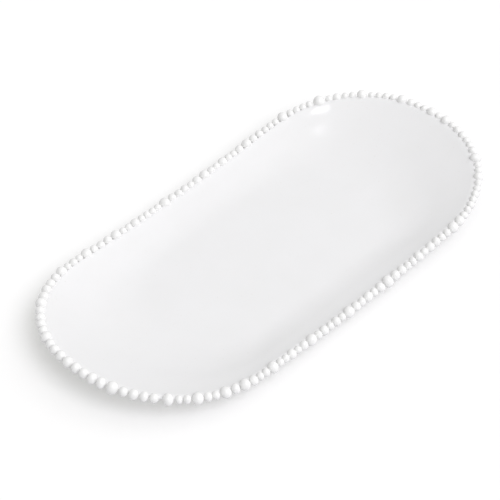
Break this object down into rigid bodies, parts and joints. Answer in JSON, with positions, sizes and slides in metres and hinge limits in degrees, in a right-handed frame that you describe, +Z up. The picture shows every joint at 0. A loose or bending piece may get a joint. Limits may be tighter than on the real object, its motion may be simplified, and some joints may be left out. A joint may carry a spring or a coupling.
{
  "type": "oval serving platter",
  "caption": "Long oval serving platter in white glazed ceramic: a shallow boat-shaped dish on a foot ring, its lip set all round with beads of mixed sizes.",
  "frame": {"origin": "on the surface the foot ring stands on, below the middle of the dish", "axes": "+X along the platter's length, +Z up out of the dish, +Y across the width"},
  "size_m": [0.4796, 0.231, 0.0336],
  "materials": {
    "body_glaze": "semi-gloss white glaze",
    "foot_biscuit": "bare fired clay, wiped of glaze at the sole",
    "bead_glaze": "semi-gloss white glaze"
  },
  "bodies": {
    "root": {"platter_body": "body_glaze", "foot_ring": "foot_biscuit", "large_bead_01": "bead_glaze", "bead_run_01": "bead_glaze", "large_bead_02": "bead_glaze", "bead_run_02": "bead_glaze", "large_bead_03": "bead_glaze", "bead_run_03": "bead_glaze", "large_bead_04": "bead_glaze", "bead_run_04": "bead_glaze", "large_bead_05": "bead_glaze", "bead_run_05": "bead_glaze", "large_bead_06": "bead_glaze", "bead_run_06": "bead_glaze", "large_bead_07": "bead_glaze", "bead_run_07": "bead_glaze", "large_bead_08": "bead_glaze", "bead_run_08": "bead_glaze", "large_bead_09": "bead_glaze", "bead_run_09": "bead_glaze", "large_bead_10": "bead_glaze", "bead_run_10": "bead_glaze", "large_bead_11": "bead_glaze", "bead_run_11": "bead_glaze", "large_bead_12": "bead_glaze", "bead_run_12": "bead_glaze", "large_bead_13": "bead_glaze", "bead_run_13": "bead_glaze", "large_bead_14": "bead_glaze", "bead_run_14": "bead_glaze", "large_bead_15": "bead_glaze", "bead_run_15": "bead_glaze", "large_bead_16": "bead_glaze", "bead_run_16": "bead_glaze", "large_bead_17": "bead_glaze", "bead_run_17": "bead_glaze", "large_bead_18": "bead_glaze", "bead_run_18": "bead_glaze", "large_bead_19": "bead_glaze", "bead_run_19": "bead_glaze", "large_bead_20": "bead_glaze", "bead_run_20": "bead_glaze", "large_bead_21": "bead_glaze", "bead_run_21": "bead_glaze", "large_bead_22": "bead_glaze", "bead_run_22": "bead_glaze", "large_bead_23": "bead_glaze", "bead_run_23": "bead_glaze", "large_bead_24": "bead_glaze", "bead_run_24": "bead_glaze", "large_bead_25": "bead_glaze", "bead_run_25": "bead_glaze", "large_bead_26": "bead_glaze", "bead_run_26": "bead_glaze"}
  },
  "joints": []
}
